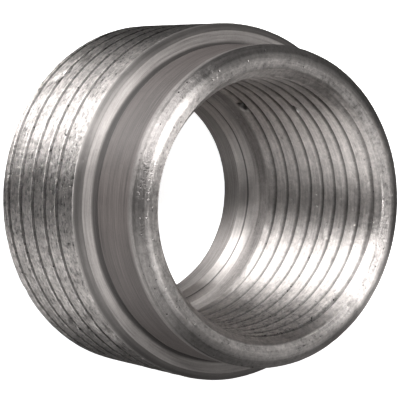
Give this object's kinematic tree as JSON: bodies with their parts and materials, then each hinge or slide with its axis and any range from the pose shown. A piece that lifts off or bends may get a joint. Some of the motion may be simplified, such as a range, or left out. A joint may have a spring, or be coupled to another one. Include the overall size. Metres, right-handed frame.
{
  "type": "reducing_bushing",
  "caption": "Turned aluminium reducing bushing: tapered outside thread below a plain round collar, tapered inside thread from the wide mouth, stepped throat for the wires to pass",
  "frame": {"origin": "centre of the flat end face at the foot of the outside thread", "axes": "+Z runs along the turning axis from the outside thread's end face to the rim of the collar; -Y is the front, the side that is nearest in the picture; both threads are right-hand"},
  "size_m": [0.0334, 0.0334, 0.0224],
  "materials": {
    "bare_aluminium": "bare cast aluminium, turned and threaded, with fine tool marks and small casting pits"
  },
  "bodies": {
    "root": {"bushing_body": "bare_aluminium"}
  },
  "joints": []
}
